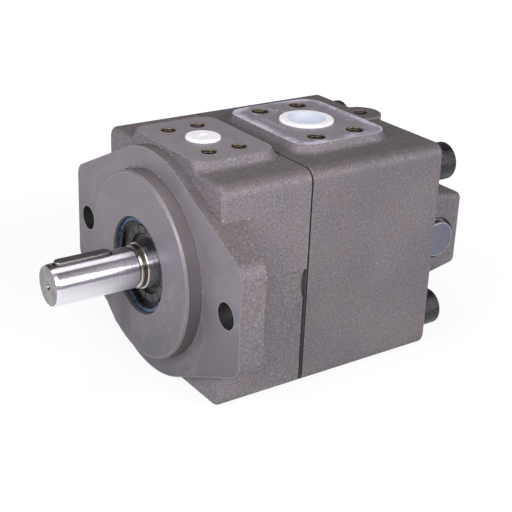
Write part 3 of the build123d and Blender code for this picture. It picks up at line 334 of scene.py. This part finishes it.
def turned_end(name):
    """The faced end of the shaft, with turning rings about its centre."""
    turning_pitch = 0.38 * MM
    s = Shader(name, 0.28, 1.0)
    rings = s.rings(s.radius_about_x(), turning_pitch)
    cloud = s.noise(160, 3)
    s.colour(s.mix(s.ramp(cloud, 0.35, 0.65), (0.22, 0.205, 0.215), (0.34, 0.325, 0.335)))
    s.rough(s.ramp(cloud, 0.3, 0.7, 0.24, 0.36))
    s.soft_edges(0.3 * MM)
    s.bump(rings, 0.008 * MM, 0.6)
    return s.material


def keyway_steel(name):
    """The milled floor of the keyway and the centre drill."""
    s = Shader(name, 0.35, 1.0)
    fine = s.noise(900, 2)
    s.colour(s.mix(s.ramp(fine, 0.3, 0.7), (0.22, 0.2, 0.19), (0.36, 0.34, 0.33)))
    s.bump(fine, 0.01 * MM, 0.5)
    return s.material


def drawn_key(name):
    """Cold drawn key steel: dark flats, with its edges painted bright as highlights."""
    s = Shader(name, 0.36, 0.85)
    streak = s.noise(80, 3, 0.7, vector=s.stretched((1.0, 14.0, 14.0)))
    edge_highlight = s.edge_mask(0.5 * MM)
    base = s.mix(s.ramp(streak, 0.3, 0.7), (0.13, 0.12, 0.125), (0.24, 0.225, 0.23))
    # Painted highlight on the key's edges.
    s.colour(s.mix(s.math("MULTIPLY", edge_highlight, 0.8), base, (0.78, 0.75, 0.74)))
    s.rough(s.ramp(streak, 0.3, 0.7, 0.3, 0.45))
    s.soft_edges(0.3 * MM)
    s.bump(streak, 0.01 * MM, 0.5)
    return s.material


def black_oxide(name, knurl_centre=None):
    """Black oxide steel, with a fine straight knurl about an axis along X when its place is given."""
    knurl_teeth = 60.0
    s = Shader(name, 0.34, 0.6)
    fine = s.noise(600, 3)
    s.colour(s.mix(s.ramp(fine, 0.35, 0.7), (0.02, 0.019, 0.023), (0.05, 0.048, 0.056)))
    s.rough(s.ramp(fine, 0.3, 0.7, 0.28, 0.42))
    s.soft_edges(0.4 * MM)
    if knurl_centre:
        y = s.math("SUBTRACT", s.math("ABSOLUTE", s.axis("Y")), knurl_centre[0])
        z = s.math("SUBTRACT", s.math("ABSOLUTE", s.axis("Z")), knurl_centre[1])
        angle = s.math("ARCTAN2", z, y)
        teeth = s.math("SINE", s.math("MULTIPLY", angle, knurl_teeth))
        s.bump(s.math("ADD", teeth, fine), 0.1 * MM, 0.45)
    else:
        s.bump(fine, 0.02 * MM, 0.5)
    return s.material


def ground_steel(name, colour=(0.45, 0.45, 0.46), roughness=0.26):
    """Ground steel: the cartridge, bearings, seal case, spring and washer."""
    s = Shader(name, roughness, 1.0)
    lines = s.noise(70, 3, 0.7, vector=s.stretched((1.0, 30.0, 30.0)))
    darker, paler = tuple(0.85 * v for v in colour), tuple(1.15 * v for v in colour)
    s.colour(s.mix(s.ramp(lines, 0.3, 0.7), darker, paler))
    s.rough(s.ramp(lines, 0.3, 0.7, roughness * 0.85, roughness * 1.25))
    s.soft_edges(0.25 * MM)
    s.bump(lines, 0.005 * MM, 0.5)
    return s.material


def seal_rubber(name):
    """Black nitrile rubber."""
    s = Shader(name, 0.38)
    fine = s.noise(500, 3)
    s.colour(s.mix(s.ramp(fine, 0.35, 0.7), (0.014, 0.014, 0.017), (0.035, 0.035, 0.04)))
    s.rough(s.ramp(fine, 0.3, 0.7, 0.3, 0.5))
    s.bump(fine, 0.03 * MM, 0.5)
    return s.material


def seal_rim(name):
    """The sealing compound round the outside of the oil seal, glossy and blue."""
    s = Shader(name, 0.22)
    spots = s.noise(420, 4, 0.7)
    s.colour(s.mix(s.ramp(spots, 0.38, 0.62), (0.003, 0.008, 0.022), (0.022, 0.085, 0.2)))
    s.rough(s.ramp(spots, 0.3, 0.7, 0.15, 0.4))
    s.bump(spots, 0.12 * MM, 0.7)
    return s.material


def moulded_plastic(name, colour=(0.97, 0.97, 0.98)):
    """Moulded plastic with a slightly waxy skin."""
    s = Shader(name, 0.38)
    cloud = s.noise(120, 3)
    s.surface.inputs["Subsurface Weight"].default_value = 0.25
    s.surface.inputs["Subsurface Radius"].default_value = (0.004, 0.0035, 0.003)
    s.surface.inputs["Subsurface Scale"].default_value = 0.3
    s.colour(s.mix(s.ramp(cloud, 0.35, 0.65), tuple(0.97 * v for v in colour), colour))
    s.rough(s.ramp(cloud, 0.3, 0.7, 0.32, 0.46))
    s.soft_edges(0.4 * MM)
    s.bump(s.noise(260, 2), 0.02 * MM, 0.4)
    return s.material


def zinc_plate(name):
    """Bright zinc plating with a cool cast."""
    s = Shader(name, 0.34, 0.6)
    cloud = s.noise(60, 3)
    edge_highlight = s.edge_mask(0.7 * MM)
    base = s.mix(s.ramp(cloud, 0.35, 0.65), (0.135, 0.135, 0.185), (0.165, 0.165, 0.22))
    # Painted highlight: pale on the plug's edges.
    s.colour(s.mix(s.math("MULTIPLY", edge_highlight, 0.8), base, (0.8, 0.8, 0.86)))
    s.rough(s.ramp(cloud, 0.3, 0.7, 0.3, 0.4))
    s.soft_edges(0.3 * MM)
    s.bump(s.noise(700, 2), 0.01 * MM, 0.5)
    return s.material


cast = cast_iron("cast_iron_skin")
faced = machined_iron("machined_iron")
tapped = tapped_iron("tapped_thread")
bored = bored_iron("bored_iron")
# The drilled mounting holes are painted near black: painted shade inside them.
dark_bore = bored_iron("drilled_iron", 0.02)
joint = joint_line("joint_line")

mounts = {mount["name"]: mount for mount in frame["record"]["mounts"]}
discharge = mounts["discharge_bolts"]
suction = mounts["suction_bolts"]
face_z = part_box("front_body")[1].z
pilot_radius = mounts["mounting_pilot"]["dims"]["r_mm"] * MM
seam_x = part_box("rear_body")[0].x
half_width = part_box("rear_body")[1].y

suction_pad = milled_pad(
    "milled_suction_pad",
    base_colour=(0.235, 0.212, 0.24),
    wear_and_highlight_colour=(0.74, 0.7, 0.84),
    centre=suction["pos_m"],
    half_size=(30.25 * MM, 36.5 * MM),
    corner=11.3 * MM,
    wear_width=9 * MM,
    wear_strength=0.85,
)
discharge_pad = milled_pad(
    "milled_discharge_pad",
    base_colour=(0.24, 0.218, 0.234),
    wear_and_highlight_colour=(0.36, 0.33, 0.35),
    centre=(31.3 * MM, 0),
    half_size=(24.7 * MM, 33.5 * MM),
    corner=9 * MM,
    wear_width=2.2 * MM,
    wear_strength=0.55,
)


# ---------------------------------------------------------------- finishes on the CAD nodes
def dress(node, *materials):
    slots = nodes[node].data.materials
    slots.clear()
    for material in materials:
        slots.append(material)


def pick(node, choose):
    """Gives each face of a CAD node the material slot that its place and direction call for."""
    for face in nodes[node].data.polygons:
        face.material_index = choose(face.center, face.normal)


def pattern(mount):
    """The hole centres of a rectangular bolt pattern, in the port plane."""
    x, y, _ = mount["pos_m"]
    dx = mount["dims"]["spacing_x_mm"] * MM / 2
    dy = mount["dims"]["spacing_y_mm"] * MM / 2
    return [(x + i * dx, y + j * dy) for i in (-1, 1) for j in (-1, 1)]


def in_hole(point, centres, radius):
    return any(math.hypot(point.x - x, point.y - y) < radius for x, y in centres)


discharge_holes = pattern(discharge)
suction_holes = pattern(suction)
lug_holes = [mounts["lug_hole"]["pos_m"][:2]]
mounting_y = mounts["mounting_bolts"]["dims"]["spacing_x_mm"] * MM / 2

# The slots of both bodies, in the order in which dress gets their materials.
SKIN, FACED, TAPPED, BORED, PAD, DRILLED, JOINT = range(7)

# Where each finish starts and ends. A radius reaches just past the wall of the hole that it picks.
ON_FACE = 0.1 * MM
TAPPED_ABOVE = 40 * MM
DISCHARGE_HOLE_RADIUS = 4.3 * MM
SUCTION_HOLE_RADIUS = 5.15 * MM
LUG_HOLE_RADIUS = 4.2 * MM
MOUNTING_HOLE_RADIUS = mounting_y * 0.0965
SEAL_BORE_RADIUS = 27.6 * MM
SEAL_BORE_DEPTH = 21 * MM
SEAM_CHAMFER = 0.62 * MM
SCREW_INSET, SCREW_HEIGHT = 11.8 * MM, 45 * MM


def tapped_wall(point, normal, centres, radius):
    return point.z > TAPPED_ABOVE and in_hole(point, centres, radius) and normal.z < 0.95


def port_face(point, normal):
    return point.z > face_z - ON_FACE and normal.z > 0.99


def joint_finish(normal):
    """Dark on the joint's chamfers, machined on its flat faces."""
    return JOINT if abs(normal.x) < 0.95 else FACED


def front_finish(point, normal):
    radius = math.hypot(point.y, point.z)
    if tapped_wall(point, normal, discharge_holes, DISCHARGE_HOLE_RADIUS):
        return TAPPED
    if port_face(point, normal):
        return PAD
    if math.hypot(abs(point.y) - mounting_y, point.z) < MOUNTING_HOLE_RADIUS:
        return DRILLED
    if radius < SEAL_BORE_RADIUS and point.x < SEAL_BORE_DEPTH:
        return BORED
    if point.x < ON_FACE and (normal.x < -0.9 or radius < pilot_radius + 0.2 * MM):
        return FACED
    if point.x > seam_x - SEAM_CHAMFER and abs(normal.x) > 0.3:
        return joint_finish(normal)
    return SKIN


def rear_finish(point, normal):
    if tapped_wall(point, normal, suction_holes, SUCTION_HOLE_RADIUS):
        return TAPPED
    if tapped_wall(point, normal, lug_holes, LUG_HOLE_RADIUS):
        return TAPPED
    if port_face(point, normal):
        return PAD
    if point.x < seam_x + SEAM_CHAMFER and abs(normal.x) > 0.3:
        return joint_finish(normal)
    return SKIN


dress("front_body", cast, faced, tapped, bored, discharge_pad, dark_bore, joint)
pick("front_body", front_finish)
# The rear body gets a darker copy of the same skin: painted shade, as its sides get less light.
dress("rear_body", cast_iron("cast_iron_rear_painted_shade", 0.87), faced, tapped, bored, suction_pad, dark_bore, joint)
pick("rear_body", rear_finish)

dress("cap_screws", black_oxide("black_oxide_screw", (half_width - SCREW_INSET, SCREW_HEIGHT)))

dress(
    "drive_shaft",
    polished_shaft("polished_shaft"),
    turned_end("turned_shaft_end"),
    keyway_steel("keyway_floor"),
)
shaft_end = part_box("drive_shaft")[0].x
key_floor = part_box("shaft_key")[0].z
CENTRE_DRILL_RADIUS = 3.4 * MM
KEYWAY_HALF_WIDTH, KEYWAY_TOP, KEYWAY_END = 3.3 * MM, 11.0 * MM, -20 * MM


def shaft_finish(point, normal):
    polished, end, keyway = range(3)
    if point.x < shaft_end + 0.05 * MM:
        return end
    if math.hypot(point.y, point.z) < CENTRE_DRILL_RADIUS:
        return keyway
    between_walls = abs(point.y) < KEYWAY_HALF_WIDTH and point.x < KEYWAY_END
    if between_walls and key_floor - 0.1 * MM < point.z < KEYWAY_TOP:
        return keyway
    return polished


pick("drive_shaft", shaft_finish)
dress("shaft_key", drawn_key("drawn_key"))

rubber = seal_rubber("nitrile_rubber")
dress("oil_seal", rubber, seal_rim("seal_rim"))
SEAL_RIM_RADIUS = 23.8 * MM
pick("oil_seal", lambda point, normal: int(math.hypot(point.y, point.z) > SEAL_RIM_RADIUS))
for node in ("plate_o_ring", "hub_o_ring", "body_o_ring"):
    dress(node, rubber)
dress("seal_case", ground_steel("seal_case_steel", (0.62, 0.6, 0.58), 0.2))
dress("seal_spring", ground_steel("spring_wire", (0.4, 0.4, 0.42), 0.3))

backup = moulded_plastic("backup_ring_plastic", (0.75, 0.72, 0.62))
for node in ("plate_backup_ring", "hub_backup_ring"):
    dress(node, backup)

cartridge = ground_steel("cartridge_steel")
for node in ("front_side_plate", "cam_ring", "rear_side_plate", "rotor"):
    dress(node, cartridge)
vane_steel = ground_steel("vane_steel", (0.52, 0.52, 0.54), 0.2)
for number in range(12):
    dress(f"vane_{number + 1:02d}", vane_steel)
race_steel = ground_steel("race_steel", (0.62, 0.62, 0.64), 0.15)
for node in ("bearing_outer_ring", "bearing_inner_ring", "bearing_balls", "needles", "needle_cup"):
    dress(node, race_steel)
cage_steel = ground_steel("cage_steel", (0.5, 0.48, 0.44), 0.32)
for node in ("bearing_cage", "needle_cage"):
    dress(node, cage_steel)
phosphated = black_oxide("phosphated_ring")
for node in ("bearing_retaining_ring", "shaft_retaining_ring", "cartridge_screws"):
    dress(node, phosphated)
dress("cartridge_dowels", race_steel)
dress("gallery_plug", zinc_plate("zinc_plate"))
dress("plug_washer", ground_steel("washer_steel", (0.42, 0.43, 0.45), 0.35))
white = moulded_plastic("white_polyethylene")
dress("discharge_port_plug", white)
# The cup inside the suction plug is painted blue-grey: painted shade.
dress("suction_port_plug", white, moulded_plastic("plug_cup_inside", (0.66, 0.7, 0.78)))
plug_x, plug_y, _ = suction["pos_m"]
plug_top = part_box("suction_port_plug")[1].z
CUP_RADIUS, CUP_RIM_DEPTH = 10.9 * MM, 2.6 * MM


def plug_finish(point, normal):
    """The inside of the cup, below its rim, is painted greyer than the head as the shade in the cup."""
    off_axis = math.hypot(point.x - plug_x, point.y - plug_y)
    return int(off_axis < CUP_RADIUS and point.z < plug_top - CUP_RIM_DEPTH)


pick("suction_port_plug", plug_finish)


# ---------------------------------------------------------------- studio
def floor():
    """White table top: it glows to the camera and in reflections, and keeps a faint shadow."""
    half_side = 0.62
    near, far = 0.2, 0.5
    near_glow, far_glow = 0.88, 1.0
    low = cad_low[2]
    middle = (cad_low[0] + cad_high[0]) / 2
    mesh = bpy.data.meshes.new("studio_floor")
    corners = [(middle + i * half_side, j * half_side, low) for i, j in ((-1, -1), (1, -1), (1, 1), (-1, 1))]
    mesh.from_pydata(corners, [], [(0, 1, 2, 3)])
    plane = bpy.data.objects.new("studio_floor", mesh)
    bpy.context.collection.objects.link(plane)
    material = bpy.data.materials.new("studio_floor")
    material.use_nodes = True
    tree = material.node_tree
    tree.nodes.clear()

    def add(kind, **settings):
        made = tree.nodes.new(kind)
        for key, value in settings.items():
            setattr(made, key, value)
        return made

    def coloured(kind, colour):
        made = add(kind)
        made.inputs["Color"].default_value = (*colour, 1)
        return made

    matt = coloured("ShaderNodeBsdfDiffuse", (0.2, 0.2, 0.2))
    shadow_catcher = coloured("ShaderNodeBsdfDiffuse", (0.14, 0.14, 0.14))
    glow = coloured("ShaderNodeEmission", (1, 1, 1))
    place = add("ShaderNodeTexCoord")
    away = add("ShaderNodeVectorMath", operation="LENGTH")
    strength = add("ShaderNodeMapRange", interpolation_type="SMOOTHSTEP")
    for socket, number in zip(strength.inputs[1:5], (near, far, near_glow, far_glow)):
        socket.default_value = number
    shown = add("ShaderNodeAddShader")
    path = add("ShaderNodeLightPath")
    seen = add("ShaderNodeMath", operation="MAXIMUM")
    seen_at_all = add("ShaderNodeMath", operation="MAXIMUM")
    choose = add("ShaderNodeMixShader")
    out = add("ShaderNodeOutputMaterial")
    for source, target in (
        (place.outputs["Object"], away.inputs[0]),
        (away.outputs["Value"], strength.inputs[0]),
        (strength.outputs[0], glow.inputs["Strength"]),
        (shadow_catcher.outputs[0], shown.inputs[0]),
        (glow.outputs[0], shown.inputs[1]),
        (path.outputs["Is Camera Ray"], seen.inputs[0]),
        (path.outputs["Is Glossy Ray"], seen.inputs[1]),
        (seen.outputs[0], seen_at_all.inputs[0]),
        (path.outputs["Is Transmission Ray"], seen_at_all.inputs[1]),
        (seen_at_all.outputs[0], choose.inputs[0]),
        (matt.outputs[0], choose.inputs[1]),
        (shown.outputs[0], choose.inputs[2]),
        (choose.outputs[0], out.inputs[0]),
    ):
        tree.links.new(source, target)
    plane.data.materials.append(material)
    plane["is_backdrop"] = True


def world():
    """The camera sees white. The part is lit by pale walls under a dim, warm ceiling."""
    made = bpy.data.worlds.new("studio")
    bpy.context.scene.world = made
    made.use_nodes = True
    tree = made.node_tree
    tree.nodes.clear()
    out = tree.nodes.new("ShaderNodeOutputWorld")
    place = tree.nodes.new("ShaderNodeTexCoord")
    split = tree.nodes.new("ShaderNodeSeparateXYZ")
    height = tree.nodes.new("ShaderNodeValToRGB")
    stops = (
        (0.30, (0.34, 0.32, 0.36)),
        (0.40, (0.06, 0.053, 0.052)),
        (0.62, (0.06, 0.052, 0.046)),
        (0.8, (0.1, 0.09, 0.08)),
    )
    while len(height.color_ramp.elements) < len(stops):
        height.color_ramp.elements.new(0.5)
    for element, (position, colour) in zip(height.color_ramp.elements, stops):
        element.position = position
        element.color = (*colour, 1)
    room = tree.nodes.new("ShaderNodeBackground")
    backdrop = tree.nodes.new("ShaderNodeBackground")
    backdrop.inputs["Color"].default_value = (1, 1, 1, 1)
    path = tree.nodes.new("ShaderNodeLightPath")
    choose = tree.nodes.new("ShaderNodeMixShader")
    tree.links.new(place.outputs["Generated"], split.inputs[0])
    tree.links.new(split.outputs["Z"], height.inputs[0])
    tree.links.new(height.outputs[0], room.inputs["Color"])
    tree.links.new(path.outputs["Is Camera Ray"], choose.inputs[0])
    tree.links.new(room.outputs[0], choose.inputs[1])
    tree.links.new(backdrop.outputs[0], choose.inputs[2])
    tree.links.new(choose.outputs[0], out.inputs[0])


def lamp(name, place, aim, size, power, colour):
    """A rectangular softbox that faces the point it is aimed at."""
    light = bpy.data.lights.new(name, "AREA")
    light.shape = "RECTANGLE"
    light.size, light.size_y = size
    light.energy = power
    light.color = colour
    holder = bpy.data.objects.new(name, light)
    bpy.context.collection.objects.link(holder)
    direction = Vector(aim) - Vector(place)
    turn = direction.to_track_quat("-Z", "Y").to_matrix().to_4x4()
    holder.matrix_world = Matrix.Translation(place) @ turn


def camera():
    """The photograph's camera, solved from the part's own features."""
    place = (-0.27019, -0.47656, 0.24647)
    azimuth, elevation, roll = -34.59, 23.48, 2.03
    lens = bpy.data.cameras.new("photo_camera")
    lens.sensor_width = 36
    lens.lens = 79.3
    lens.shift_x = 0.0273
    lens.shift_y = -0.0131
    lens.clip_start = 0.01
    holder = bpy.data.objects.new("photo_camera", lens)
    bpy.context.collection.objects.link(holder)
    turn = (
        Matrix.Rotation(math.radians(azimuth), 4, "Z")
        @ Matrix.Rotation(math.radians(90 - elevation), 4, "X")
        @ Matrix.Rotation(math.radians(roll), 4, "Z")
    )
    holder.matrix_world = Matrix.Translation(place) @ turn
    bpy.context.scene.camera = holder


floor()
world()
lamp("front_softbox", (-0.45, -0.9, 0.5), (0.0, 0, 0), (0.6, 0.16), 4.4, (0.98, 0.96, 1.0))
lamp("left_softbox", (-0.5, -0.22, 0.31), (0.0, 0, 0), (0.35, 0.35), 3.1, (0.97, 0.95, 1.0))
lamp("right_softbox", (0.75, -1.15, 0.64), (0.06, 0, 0), (1.0, 0.6), 13.0, (0.99, 0.97, 1.0))
lamp("top_softbox", (0.05, 0.1, 1.0), (0.06, 0, 0), (0.5, 0.5), 2.4, (0.98, 0.98, 1.0))
camera()
bpy.context.scene.view_settings.view_transform = "Standard"
